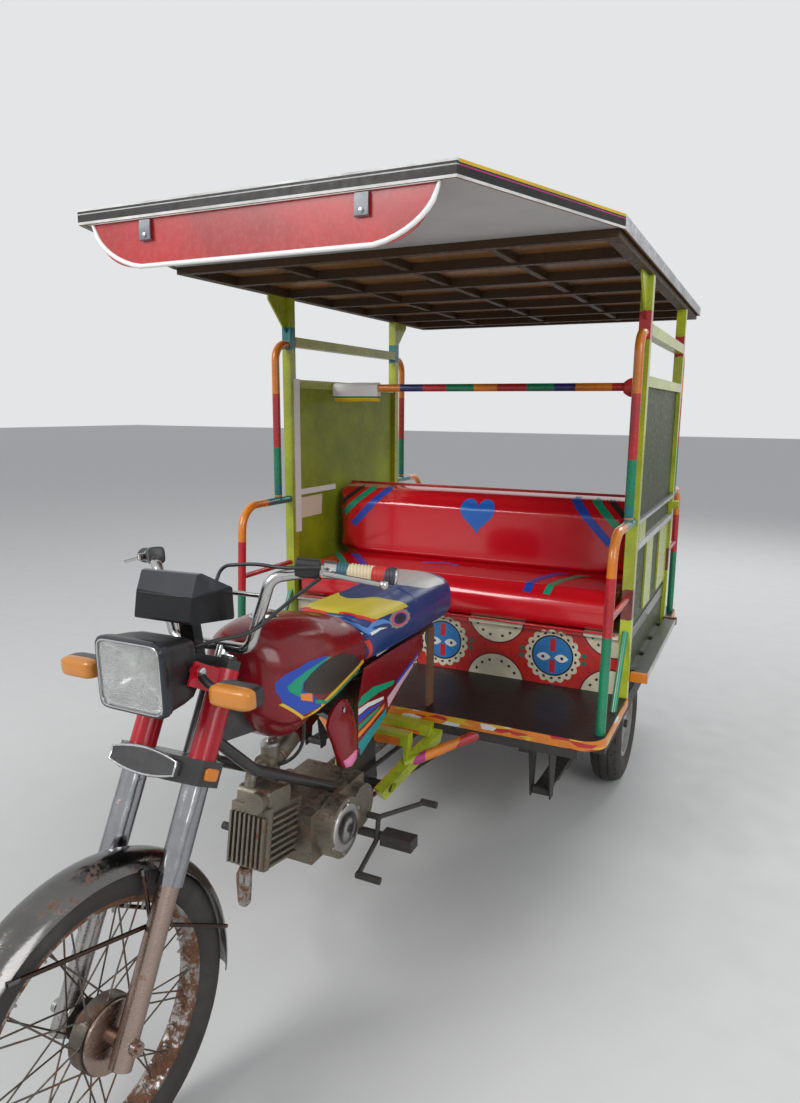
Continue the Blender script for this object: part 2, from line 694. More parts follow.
def decal(name, outline, letter, toward, tree, material, lift=0.0012, grow=0.0002, step=0.006):
    """A thin painted shape laid on a surface.

    outline holds (a, b) places in the two axes other than letter, in metres. The shape is pressed
    on along letter, towards + or -, as toward says, and its underside lies grow inside the surface.
    """
    axis = "XYZ".index(letter)
    others = [i for i in range(3) if i != axis]
    ring = [Vector(p) for p in outline]
    border = []
    for p, q in zip(ring, ring[1:] + ring[:1]):
        pieces = max(1, int((q - p).length / step))
        border += [p.lerp(q, k / pieces) for k in range(pieces)]
    edges = [(i, (i + 1) % len(border)) for i in range(len(border))]
    low = [min(p[i] for p in border) for i in range(2)]
    high = [max(p[i] for p in border) for i in range(2)]
    for i in range(1, int((high[0] - low[0]) / step) + 1):
        for j in range(1, int((high[1] - low[1]) / step) + 1):
            border.append(Vector((low[0] + i * step, low[1] + j * step * (1 if i % 2 else 0.97))))
    points, _, triangles, *_ = delaunay_2d_cdt(border, edges, [], 1, 1e-5)
    top, under = [], []
    way = Vector((0, 0, 0))
    way[axis] = toward
    for p in points:
        start = Vector((0, 0, 0))
        start[others[0]], start[others[1]] = p
        start[axis] = -3.0 * toward
        spot, normal, *_ = tree.ray_cast(start, way)
        if spot is None:
            start[axis] = 0
            spot, normal, *_ = tree.find_nearest(start - way * 0.3)
        if normal.dot(way) > 0:
            normal = -normal
        top.append(spot + normal * lift)
        under.append(spot - normal * grow)
    count = len(top)
    faces = [tuple(t) for t in triangles]
    faces += [tuple(i + count for i in reversed(t)) for t in triangles]
    sides = dict.fromkeys(pair for t in triangles for pair in zip(t, (*t[1:], t[0])))
    faces += [(b, a, a + count, b + count) for a, b in sides if (b, a) not in sides]
    return add_mesh(name, top + under, faces, material, sharp=60)


# Wheels


def arc_through(a, b, c, count):
    """Points along the circle through three (x, y) places, ends included."""
    (ax, ay), (bx, by), (cx, cy) = a, b, c
    aa, bb, cc = ax**2 + ay**2, bx**2 + by**2, cx**2 + cy**2
    d = 2 * (ax * (by - cy) + bx * (cy - ay) + cx * (ay - by))
    ux = (aa * (by - cy) + bb * (cy - ay) + cc * (ay - by)) / d
    uy = (aa * (cx - bx) + bb * (ax - cx) + cc * (bx - ax)) / d
    radius = math.hypot(ax - ux, ay - uy)
    start, middle, end = (math.atan2(y - uy, x - ux) for x, y in (a, b, c))
    sweep = (end - start + math.pi) % (2 * math.pi) - math.pi
    part = (middle - start + math.pi) % (2 * math.pi) - math.pi
    if sweep * part < 0:
        sweep -= math.copysign(2 * math.pi, sweep)
    turns = [start + sweep * k / count for k in range(count + 1)]
    return [(ux + radius * math.cos(t), uy + radius * math.sin(t)) for t in turns]


def tread_depth(x, turn, half, kind):
    """How deep the tread is cut at a place across and around the tyre, in metres."""
    if abs(x) > 0.93 * half:
        return 0.0
    if kind == "ribbed":
        zig = 0.0028 * (abs((turn * 30) % 2 - 1) * 2 - 1)
        if any(abs(x - line * half - zig) < 0.0017 for line in (-0.42, 0.42, 0.0)):
            return 0.0032
        return 0.0022 if (turn * 60) % 1 < 0.22 and abs(x) > 0.62 * half else 0.0
    if abs(abs(x) - 0.34 * half) < 0.0024:
        return 0.0045
    slot = (turn * 34 + (0.5 if x > 0 else 0.0) + 0.25 * abs(x) / half) % 1
    return 0.0045 if slot < 0.2 and abs(x) > 0.34 * half else 0.0


def add_tyre(name, node, centre, radius, width, bead, kind, body):
    half = 0.40 * width
    shoulder = (half, radius - 0.14 * width)
    wall = (width / 2, (radius + bead) / 2)
    right = arc_through((0.32 * width, bead), wall, shoulder, 9)
    crown = arc_through(shoulder, (0, radius), (-half, shoulder[1]), 44)
    section = right + crown[1:-1] + [(-x, r) for x, r in reversed(right)]
    section += [(-0.32 * width + 0.64 * width * k / 5, bead) for k in range(1, 5)]
    first, last = len(right) - 1, len(right) + len(crown) - 2
    steps = 240
    rings = []
    for k in range(steps):
        t = 2 * math.pi * k / steps
        ring = []
        for i, (x, r) in enumerate(section):
            cut = tread_depth(x, k / steps * 4, half, kind) if first < i < last else 0.0
            if i < first and abs(r - (bead + 0.62 * (radius - bead))) < 0.004:
                cut = 0.0006
            ring.append(centre + Vector((x, (r - cut) * math.cos(t), (r - cut) * math.sin(t))))
        rings.append(ring)
    verts, faces = loft(rings, False, False)
    count = len(section)
    top = (steps - 1) * count
    faces += [(top + i, top + (i + 1) % count, (i + 1) % count, i) for i in range(count)]
    tyre = add_mesh(name, verts, faces, "tyre", body, sharp=28)
    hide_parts(node)


def add_wheels():
    hub = bike(0, 0, AXLE_Z)
    wheel = "front_wheel"
    add_tyre("front_tyre_tread", "front_tyre", hub, WHEEL_RADIUS, 0.072, 0.218, "ribbed", wheel)
    for side, word in SIDES:
        names = (f"rear_tread_{word}", f"rear_tyre_{word}")
        centre = cabin(side * 505, 0, 208)
        add_tyre(*names, centre, 0.208, 0.104, 0.106, "block", f"rear_wheel_{word}")
    profile = [(0, 0.0022), (0.004, 0.0030), (0.012, 0.0034), (0.0135, 0.0034)]
    nipples = []
    for k in range(36):
        t = math.radians(10 * k + 4)
        out = Vector((0, math.cos(t), math.sin(t)))
        base = bike(4 if k % 2 else -4, 0, AXLE_Z) + out * 0.190
        nipples.append(lathe(base, out, profile, 8))
    add_mesh("spoke_nipples", *together(nipples), "steel", wheel)


# Front end


def rounded_rings(stations, power, z=LAMP_Z, steps=64):
    """Rings square to Y: stations are (y behind the front axle, half width, half height)."""
    rings = []
    for y, half_x, half_z in stations:
        rings.append([bike(x, y, z + h) for x, h in superellipse(half_x, half_z, power, steps)])
    return rings


def add_headlight():
    stations = [(146, 76, 60), (146, 82, 66), (152, 82, 66), (158, 79, 63), (190, 76, 60)]
    stations += [(214, 71, 56), (230, 62, 49), (237, 46, 36), (238, 20, 15)]
    shell = loft(rounded_rings(stations, 8), first=False)
    case = add_mesh("headlight_case", *shell, "black_plastic", "steering")
    solid = case.modifiers.new("wall", "SOLIDIFY")
    solid.thickness = 0.002
    solid.offset = -1
    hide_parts("headlight_shell")
    stations = [(144, 75.5, 59.5), (134.6, 76, 60), (132.3, 78, 62), (132.3, 80.5, 64.5)]
    stations += [(136, 83, 67), (146, 83, 67), (146, 77, 61), (144, 75.5, 59.5)]
    bezel = loft(rounded_rings(stations, 9), False, False)
    rim = add_mesh("headlight_rim", *bezel, "gloss_black", "steering")
    stations = [(134.8, 75.4, 59.4), (131.6, 75.8, 59.8), (131.0, 77, 61), (132.2, 78, 62)]
    stations += [(134.8, 77.6, 61.6), (134.8, 75.4, 59.4)]
    line = loft(rounded_rings(stations, 9), False, False)
    add_mesh("headlight_trim", *line, "chrome", "steering")
    # Lens: a crowned front and fine upright ribs behind
    across, high = 120, 28
    verts, faces = [], []
    for layer in range(2):
        for j in range(high + 1):
            for i in range(across + 1):
                u, v = 2 * i / across - 1, 2 * j / high - 1
                pinch = 1 - 0.05 * (abs(u * v) ** 3)
                crown = 2.2 * (1 - u * u) * (1 - v * v)
                y = 135.4 - crown if layer == 0 else 138.8 + 0.8 * math.cos(i * math.pi) - crown
                verts.append(bike(75.6 * u * pinch, y, LAMP_Z + 59.6 * v * pinch))
    row = across + 1
    size = row * (high + 1)
    for j in range(high):
        for a in range(j * row, j * row + across):
            faces.append((a, a + 1, a + row + 1, a + row))
            faces.append((size + a, size + a + row, size + a + row + 1, size + a + 1))
    edge = [*range(row), *range(row + across, size, row)]
    edge += [*range(size - 2, size - row - 1, -1), *range(size - 2 * row, 0, -row)]
    for a, b in zip(edge, edge[1:] + edge[:1]):
        faces.append((b, a, a + size, b + size))
    lens = add_mesh("headlight_glass", verts, faces, "lens_glass", "steering", sharp=60)
    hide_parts("headlight_lens")
    bowl = []
    for y, grow in (
        (141, 1.0), (150, 0.94), (165, 0.84), (180, 0.68), (192, 0.48), (198, 0.26), (200, 0.10)
    ):
        bowl += rounded_rings([(y, 75 * grow, 59 * grow)], 8 - 5.6 * (1 - grow))
    bowl = loft(bowl, first=False)
    dish = add_mesh("headlight_reflector", *bowl, "reflector", "steering", sharp=80)
    solid = dish.modifiers.new("wall", "SOLIDIFY")
    solid.thickness = 0.0015
    profile = [(0, 0.008), (0.016, 0.008), (0.026, 0.0072), (0.033, 0.004), (0.035, 0.001)]
    bulb = lathe(bike(0, 198, LAMP_Z), (0, -1, 0), profile, 20)
    add_mesh("headlight_bulb", *bulb, "bulb", "steering")
    for s, word in reversed(SIDES):
        bolt = f"headlight_bolt_{word}", [bike(s * 96, 208, LAMP_Z)], (s, 0, 0), 0.0085, 0.006
        studs(*bolt, "chrome", "steering", sides=24)


def add_speedometer():
    """A dial on the slope that faces the rider, and a parting line round the shell."""
    centre = bike(0, 289, 998.5)
    axis = Vector((0, 0.471, 0.882))
    across, up = Vector((-1, 0, 0)), Vector((0, -0.882, 0.471))
    profile = [(-0.002, 0.034), (0.0, 0.037), (0.0026, 0.0355), (0.0026, 0.033), (-0.002, 0.031)]
    add_mesh("dial_ring", *lathe(centre, axis, profile, 64, False), "chrome", "steering")
    disc = lathe(centre, axis, [(-0.004, 0.033), (0.0006, 0.033), (0.0007, 0.005)], 48)
    add_mesh("dial_face", *disc, "dial", "steering")
    ticks = []
    wide = 0.0007
    for k in range(25):
        t = math.radians(-225 + 270 * k / 24)
        out = across * math.cos(t) - up * math.sin(t)
        flat = -across * math.sin(t) - up * math.cos(t)
        inner, outer = 0.027 if k % 4 else 0.023, 0.030
        corners = ((inner, -wide), (inner, wide), (outer, wide), (outer, -wide))
        ends = [centre + out * reach + flat * shift + axis * 0.0006 for reach, shift in corners]
        ticks.append(prism_of(ends, axis * 0.0005))
    add_mesh("dial_ticks", *together(ticks), "white_ink", "steering", smooth=False)
    corners = ((0.0015, -0.004), (-0.0015, -0.004), (0.018, -0.018))
    needle = [centre - across * a + up * b + axis * 0.0012 for a, b in corners]
    needle = prism_of(needle, axis * 0.0008)
    add_mesh("dial_needle", *needle, "orange", "steering", smooth=False)
    seam = [(-70.4, 318), (-70.4, 232), (-64, 223.6), (64, 223.6)]
    seam += [(70.4, 232), (70.4, 318), (64, 326.4), (-64, 326.4)]
    line = [bike(x, y, 979) for x, y in seam]
    tube("meter_seam", line, 0.0013, "black_plastic", "steering", cyclic=True, smooth=False)


def add_grips():
    """Ribbed grips with coloured bands on the left one and a bright end cap on each."""
    for s, word in SIDES:
        inner, outer = bike(s * 222, 405, 1008), bike(s * 332, 478, 990)
        way = (outer - inner).normalized()
        length = (outer - inner).length
        profile = [(0.0, 0.012), (0.0, 0.0168), (0.006, 0.0168)]
        at = 0.008
        while at < length - 0.012:
            profile += [(at, 0.0150), (at + 0.0015, 0.0164)]
            profile += [(at + 0.0035, 0.0164), (at + 0.005, 0.0150)]
            at += 0.006
        profile += [(length - 0.010, 0.0168), (length - 0.002, 0.0168), (length - 0.002, 0.012)]
        rubber = plain(f"grip_{word}", (0.02, 0.02, 0.022), 0.45)
        if s > 0:
            stops = [(0.262, (0.03, 0.10, 0.13)), (0.300, (0.62, 0.52, 0.34))]
            stops += [(0.322, (0.50, 0.03, 0.02)), (0.36, (0.04, 0.04, 0.05))]
            rubber.set("Base Color", bands(rubber, rubber.axis("X"), 0.215, stops))
        M[f"grip_{word}"] = rubber
        rubber = lathe(inner, way, profile, 32)
        grip = add_mesh(f"grip_rubber_{word}", *rubber, f"grip_{word}", "steering", sharp=50)
        if s > 0:
            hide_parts("grips")
        profile = [(-0.002, 0.0165), (0.001, 0.0165), (0.003, 0.014), (0.004, 0.009)]
        add_mesh(f"grip_cap_{word}", *lathe(outer, way, profile, 28), "chrome", "steering")
        # Switch housing beside the grip, split along its middle
        side = way.cross(Vector((0, 0, 1))).normalized()
        up = side.cross(way).normalized()
        box = []
        for along, half, power in (
            (-0.052, 0.0135, 3), (-0.050, 0.0165, 4), (-0.008, 0.0165, 4), (-0.006, 0.0135, 3)
        ):
            ring = superellipse(half, half * 1.08, power, 28)
            box.append([inner + way * along + side * a + up * b for a, b in ring])
        add_mesh(f"switch_box_{word}", *loft(box), "black_plastic", "steering", sharp=50)


def add_indicators():
    """Ribbed amber lenses in black housings."""
    housing = ((24, 0.72), (20, 0.92), (10, 1.0), (-4, 1.0))
    lens = ((-4, 0.99), (-14, 0.97), (-21, 0.90), (-25, 0.70), (-26, 0.4))
    for s, word in SIDES:
        shapes = []
        for stations in (housing, lens):
            sizes = [(190 + y, 46.5 * scale, 18.8 * scale) for y, scale in stations]
            rings = rounded_rings(sizes, 5, 832, 40)
            shapes.append(loft([[p + Vector((s * 0.191, 0, 0)) for p in r] for r in rings]))
        body = add_mesh(f"indicator_housing_{word}", *shapes[0], "black_plastic", "steering")
        add_mesh(f"indicator_lens_{word}", *shapes[1], "worn_amber", "steering", sharp=50)
        line = [(98, 206, 846), (114, 200, 840), (134, 196, 834), (150, 195, 832)]
        line = [bike(s * x, y, z) for x, y, z in line]
        stalk = tube(f"indicator_stalk_{word}", line, 0.0075, "black_plastic", "steering")
        if s > 0:
            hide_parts("indicators")


def add_yoke_trim():
    """Bright rim round the blank plate, a side reflector each side, and pinch bolts."""
    outline = []
    for k in range(25):
        x = -80 + 160 * k / 24
        outline.append((x, 10.5 + 11.5 * (1 - (x / 84) ** 2)))
    outline += [(x, -b) for x, b in reversed(outline)]
    places = [fork(x, 440 + b, -64.6) for x, b in outline]
    tube("yoke_plate_rim", places, 0.0022, "chrome", "steering", cyclic=True, smooth=False)
    for s, word in SIDES:
        rings = []
        for out, scale in ((103, 0.9), (105, 1.0), (108, 1.0), (110, 0.85), (110.5, 0.4)):
            ring = superellipse(17 * scale, 11 * scale, 5, 28)
            rings.append([fork(s * out, 440 + b, a) for a, b in ring])
        add_mesh(f"fork_reflector_{word}", *loft(rings), "amber", "steering")
        top = [fork(s * 76, 646, 0)]
        studs(f"fork_cap_{word}", top, STEER_AXIS, 0.012, 0.008, "chrome", "steering")


# Tank, saddle and covers


# Stripes on the tank, tail and saddle: (ink, outline), in millimetres behind the front axle and up
TANK_STRIPES = [
    ("blue", [
        (550, 789), (496, 793), (459, 788), (430, 784), (412, 769), (413, 751), (422, 731),
        (421, 721), (446, 700), (471, 684), (534, 681), (562, 680), (530, 695), (505, 715),
        (500, 740), (520, 765), (569, 783),
    ]),
    ("green", [
        (569, 783), (487, 777), (449, 767), (432, 757), (436, 746), (463, 726), (467, 737),
        (472, 754), (500, 767), (533, 776), (579, 779),
    ]),
    ("orange", [(464, 733), (500, 724), (502, 704), (466, 719)]),
    ("badge_black", [
        (500, 767), (540, 774), (587, 776), (637, 771), (692, 748), (723, 729), (740, 712),
        (701, 699), (648, 697), (585, 700), (530, 711), (500, 722), (474, 736), (476, 754),
    ]),
    ("yellow", [
        (540, 676), (585, 687), (636, 695), (689, 702), (758, 712), (748, 722), (689, 713),
        (636, 706), (585, 699), (536, 688),
    ]),
    ("green", [
        (514, 705), (560, 686), (648, 690), (744, 701), (744, 694), (648, 682), (556, 679),
        (508, 699),
    ]),
    ("yellow", [(418, 722), (478, 671), (534, 677), (534, 682), (480, 677), (424, 724)]),
]
TAIL_STRIPES = [
    ("green", [(753, 618), (830, 624), (946, 604), (940, 594), (850, 600), (753, 596)]),
    ("white", [(753, 592), (800, 592), (884, 580), (884, 572), (800, 580), (753, 576)]),
    ("blue", [(753, 573), (800, 576), (884, 568), (800, 562), (753, 556)]),
    ("green", [(754, 550), (800, 556), (862, 560), (850, 552), (800, 544), (752, 538)]),
    ("orange", [(752, 530), (810, 540), (890, 558), (884, 548), (810, 530), (752, 518)]),
    ("teal", [(752, 504), (800, 518), (900, 540), (900, 522), (800, 482), (763, 468), (751, 480)]),
    ("pink_white", [(906, 568), (980, 592), (1090, 622), (1102, 618), (1000, 580), (912, 540)]),
    ("blue", [(960, 596), (1040, 620), (1108, 636), (1100, 630), (1020, 604), (960, 586)]),
]
SADDLE_TOP = [
    ("leaf_yellow", [
        (0, 742), (46, 744), (84, 762), (102, 798), (104, 880), (108, 990), (70, 930),
        (31, 874), (0, 858),
    ]),
    ("red_ink", [(40, 742), (84, 760), (102, 796), (104, 826), (98, 800), (78, 766), (40, 750)]),
]
SADDLE_REAR = [
    (-104, 1246), (0, 1252), (104, 1246), (96, 1130), (56, 1066), (0, 1052), (-56, 1066),
    (-96, 1130),
]
SADDLE_SIDE = [
    ("red_ink", [(779, 756), (786, 740), (798, 703), (806, 703), (794, 742), (785, 760)]),
    ("light_blue", [
        (776, 790), (800, 802), (850, 796), (890, 776), (846, 786), (800, 790), (782, 782),
    ]),
    ("white_ink", [(786, 778), (820, 782), (856, 774), (820, 776), (790, 770)]),
]
# Swirls on the saddle's sloping front: ink, places as (x, z), and width
SADDLE_FRONT = [
    ("light_blue", [
        (-106, 776), (-84, 800), (-44, 815), (0, 819), (44, 815), (84, 800), (106, 776),
    ], 11),
    ("white_ink", [(-90, 776), (-60, 793), (-20, 800), (10, 792)], 4),
    ("white_ink", [(90, 776), (60, 793), (20, 806), (-14, 806)], 4),
    ("red_ink", [(-70, 824), (-30, 826), (10, 824)], 5),
]


def seam_y(z):
    """Where the tank ends and the saddle begins, as y at a height, in millimetres."""
    return 694 + (860 - z) * 74 / 86 if z > 774 else 768 + (774 - z) * 16 / 84


def side_marks(name, table, side, tree, lift=0.0010, more=0.0, grow=0.0002, step=0.006):
    """Lays a table of (ink, outline of (y, z)) on one side of the motorcycle."""
    for k, (ink, outline) in enumerate(table):
        shape = [(FRONT_Y + y / 1000, z / 1000) for y, z in outline]
        decal(f"{name}_{k}", shape, "X", -side, tree, ink, lift + more * k, grow, step)


def add_tank():
    """A rounded tank with a tucked-in lower lobe, a filler cap and striped sides."""
    stations = [
        (391, 26, 732, 820), (393, 48, 706, 842), (404, 76, 682, 856), (432, 102, 648, 869),
        (475, 114, 618, 875), (520, 118.5, 611, 875), (585, 119, 632, 866), (645, 115, 650, 852),
        (700, 110, 664, 841), (744, 105, 674, 836), (764, 98, 684, 828), (770, 64, 712, 806),
    ]
    rings = []
    for k in range(73):
        y, half, low, high = spline(stations, k / 72)
        middle, tall = (low + high) / 2, (high - low) / 2
        crease = max(low + 10, 674 if y > 450 else 674 + (450 - y) * 0.5)
        back = min(1.0, max(0.0, (y - 590) / 180)) ** 1.6
        ring = []
        for a, b in superellipse(half, tall, 3.2, 72):
            z = middle + b
            lean = 1 - 0.22 * max(0.0, b / tall) ** 2.2
            tuck = min(1.0, max(0.0, (crease - z) / 14))
            lean *= 1 - 0.20 * tuck * tuck * (3 - 2 * tuck) * (1 - back)
            ring.append(bike(a * lean, y + (seam_y(z) - 770) * back, z))
        rings.append(ring)
    tank = add_mesh("tank_shell", *loft(rings), "maroon", sharp=60)
    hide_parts("fuel_tank")
    cap = [(0, 0.031), (0.006, 0.031), (0.008, 0.028), (0.013, 0.027)]
    cap = lathe(bike(0, 500, 870), (0, 0.04, 1), cap + [(0.016, 0.023), (0.017, 0.010)], 40)
    add_mesh("tank_cap", *cap, "chrome")
    tree = tree_of(tank)
    for s, word in SIDES:
        name = f"tank_stripe_{word}"
        side_marks(name, TANK_STRIPES, s, tree, 0.0004, 0.00025, 0.0003, 0.008)


def final_mesh(obj):
    """A new mesh of an object with its modifiers, which are then taken off."""
    mesh = bpy.data.meshes.new_from_object(
        obj.evaluated_get(bpy.context.evaluated_depsgraph_get())
    )
    obj.modifiers.clear()
    return mesh


def inflate(name, build, cap, limits, voxel=0.007, pressure=4.0, material="red_vinyl"):
    """A cushion: its starting shape swollen as cloth under pressure, and kept within its limits."""
    obj = new_object(name, new_mesh(name, *build))
    bpy.context.view_layer.objects.active = obj
    remesh = obj.modifiers.new("even", "REMESH")
    remesh.mode = "VOXEL"
    remesh.voxel_size = voxel
    even = final_mesh(obj)
    obj.data = even
    rest = [v.co.copy() for v in even.vertices]
    facing = [v.normal.copy() for v in even.vertices]
    cloth = obj.modifiers.new("air", "CLOTH")
    cloth.settings.use_pressure = True
    cloth.settings.uniform_pressure_force = pressure
    cloth.settings.effector_weights.gravity = 0
    cloth.settings.quality = 4
    cloth.settings.tension_stiffness = 12
    cloth.settings.bending_stiffness = 1.5
    cloth.point_cache.frame_start = 1
    cloth.point_cache.frame_end = 20
    for number in range(1, 21):
        bpy.context.scene.frame_set(number)
    moved = [v.co.copy() for v in final_mesh(obj).vertices]
    bpy.context.scene.frame_set(1)
    low, high = limits
    for v, start, end, normal in zip(even.vertices, rest, moved, facing):
        shift = end - start
        shift += normal * max(0.0, -0.002 - shift.dot(normal))
        if shift.length > cap:
            shift *= cap / shift.length
        place = start + shift
        v.co = Vector([min(max(place[i], low[i]), high[i]) for i in range(3)])
    bm = bmesh.new()
    bm.from_mesh(even)
    every_way = {"use_axis_x": True, "use_axis_y": True, "use_axis_z": True}
    for _ in range(7):
        bmesh.ops.smooth_vert(bm, verts=bm.verts, factor=0.5, **every_way)
    bm.to_mesh(even)
    bm.free()
    even.materials.clear()
    even.materials.append(M[material].mat)
    even.polygons.foreach_set("use_smooth", [True] * len(even.polygons))
    return obj


def prism(profile, half_x, round_end=0.018, steps=5):
    """A profile of (y, z) places drawn out along X, with rounded ends."""
    middle_y = sum(p[0] for p in profile) / len(profile)
    middle_z = sum(p[1] for p in profile) / len(profile)
    size = max(abs(p[1] - middle_z) for p in profile)
    rings = []
    for s in (-1, 1):
        for k in range(steps + 1)[::-s]:
            t = math.pi / 2 * k / steps
            x = s * (half_x - round_end * (1 - math.sin(t)))
            pull = 1 - round_end * (1 - math.cos(math.pi / 2 - t)) / size
            rings.append([])
            for y, z in profile:
                place = (x, middle_y + (y - middle_y) * pull, middle_z + (z - middle_z) * pull)
                rings[-1].append(Vector(place))
    return loft(rings)


def rounded_profile(corners, steps=6):
    """Corners are (y, z, radius) in order round the outline; returns the rounded outline."""
    out = []
    count = len(corners)
    for i, (y, z, radius) in enumerate(corners):
        here = Vector((y, z))
        before = (Vector(corners[i - 1][:2]) - here).normalized()
        after = (Vector(corners[(i + 1) % count][:2]) - here).normalized()
        start, end = here + before * radius, here + after * radius
        for k in range(steps + 1):
            t = k / steps
            out.append(tuple(start * (1 - t) ** 2 + here * (2 * t * (1 - t)) + end * t**2))
    return out


def twin(obj, name):
    """The same cushion facing the other way."""
    data = obj.data.copy()
    data.transform(Matrix.Translation((0, 2 * REAR_Y, 0)) @ Matrix.Scale(-1, 4, (0, 1, 0)))
    data.flip_normals()
    return new_object(name, data)


def heart(centre, size, steps=40):
    points = []
    for k in range(steps):
        t = 2 * math.pi * k / steps
        x = 16 * math.sin(t) ** 3
        z = 13 * math.cos(t) - 5 * math.cos(2 * t) - 2 * math.cos(3 * t) - math.cos(4 * t)
        points.append((centre[0] + x * size / 32, centre[1] + z * size / 30))
    return points


def stripe(points, width):
    """A band of even width along a line of places."""
    points = [Vector(p) for p in points]
    left, right = [], []
    for i, p in enumerate(points):
        way = (points[min(i + 1, len(points) - 1)] - points[max(i - 1, 0)]).normalized()
        side = Vector((-way.y, way.x)) * width / 2
        left.append(p + side)
        right.append(p - side)
    return [tuple(p) for p in left + right[::-1]]


# Painted lines on a bench top: ink, places as (x, distance in front of the rear axle), and width
BENCH_STRIPES = {
    -1: (
        ("blue", [(-0.300, 0.398), (-0.327, 0.353), (-0.392, 0.267), (-0.458, 0.180)], 0.030),
        ("green", [(-0.372, 0.398), (-0.384, 0.383), (-0.470, 0.270), (-0.540, 0.180)], 0.024),
    ),
    1: (
        ("blue", [(0.276, 0.398), (0.285, 0.300), (0.315, 0.200), (0.345, 0.165)], 0.026),
        ("green", [(0.340, 0.398), (0.360, 0.280), (0.395, 0.190), (0.420, 0.160)], 0.022),
    ),
}
BACK_STRIPES = (
    ("blue", [(0.345, 1.017), (0.480, 0.875)], 0.026),
    ("green", [(0.412, 1.017), (0.520, 0.915)], 0.022),
    ("black", [(0.464, 1.015), (0.545, 0.945)], 0.016),
)


def cushion(name, corners, cap, low, high):
    """A bench or back. Corners are (y, z, radius) and limits (y, z), with y from the rear axle."""
    profile = rounded_profile([(REAR_Y + y, z, radius) for y, z, radius in corners])
    limits = [Vector((x, REAR_Y + y, z)) for x, (y, z) in ((-0.568, low), (0.568, high))]
    return inflate(name, prism(profile, 0.560), cap, limits)


def add_upholstery():
    """Red vinyl benches and backs with painted stripes and a heart."""
    bench = [(-0.126, 0.652, 0.012), (-0.420, 0.652, 0.012)]
    bench += [(-0.417, 0.750, 0.045), (-0.126, 0.756, 0.020)]
    seat = cushion("bench_front", bench, 0.024, (-0.428, 0.646), (-0.118, 0.768))
    back = [(-0.012, 0.652, 0.010), (-0.106, 0.652, 0.010), (-0.108, 0.775, 0.010)]
    back += [(-0.140, 0.782, 0.018), (-0.128, 1.014, 0.046), (-0.012, 1.024, 0.022)]
    rest = cushion("back_front", back, 0.026, (-0.152, 0.646), (-0.0065, 1.036))
    tops = {}
    for piece, node, name in (
        (seat, "bench_cushions", "bench_rear"), (rest, "backrests", "back_rear")
    ):
        other = twin(piece, name)
        for obj in (piece, other):
            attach(obj, "chassis")
        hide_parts(node)
        tops[piece.name], tops[name] = tree_of(piece), tree_of(other)
    for s, word, mark in ((-1, "front", 1), (1, "rear", -1)):
        bench_tree, back_tree = tops[f"bench_{word}"], tops[f"back_{word}"]
        shape = heart((0.015 * mark, 0.945), 0.128)
        decal(f"heart_{word}", shape, "Y", -s, back_tree, "heart")
        for side, letter in ((-1, "r"), (1, "l")):
            for ink, line, width in BACK_STRIPES:
                shape = stripe([(side * x, z) for x, z in line], width)
                decal(f"back_{ink}_{word}_{letter}", shape, "Y", -s, back_tree, ink)
            for ink, line, width in BENCH_STRIPES[side * mark]:
                shape = stripe([(mark * x, REAR_Y + s * y) for x, y in line], width)
                decal(f"bench_{ink}_{word}_{letter}", shape, "Z", -1, bench_tree, ink)
        line = [(-0.16, 0.215), (-0.10, 0.190), (-0.03, 0.205)]
        small = stripe([(x, REAR_Y + s * y) for x, y in line], 0.014)
        decal(f"bench_mark_{word}", small, "Z", -1, bench_tree, "blue")
        # Piping along the bench's lower front edge
        line = [(x / 100, REAR_Y + s * 0.4275, 0.6495) for x in range(-56, 57, 8)]
        tube(f"bench_piping_{word}", line, 0.0032, "red_vinyl")


def seam_on(name, tree, starts, way, radius):
    """A sewn edge: a thin tube along the places where rays from the starts meet the saddle."""
    line = [tree.ray_cast(start, Vector(way))[0] for start in starts]
    line = [spot for spot in line if spot is not None]
    if len(line) > 3:
        tube(name, line, radius, "blue_vinyl")


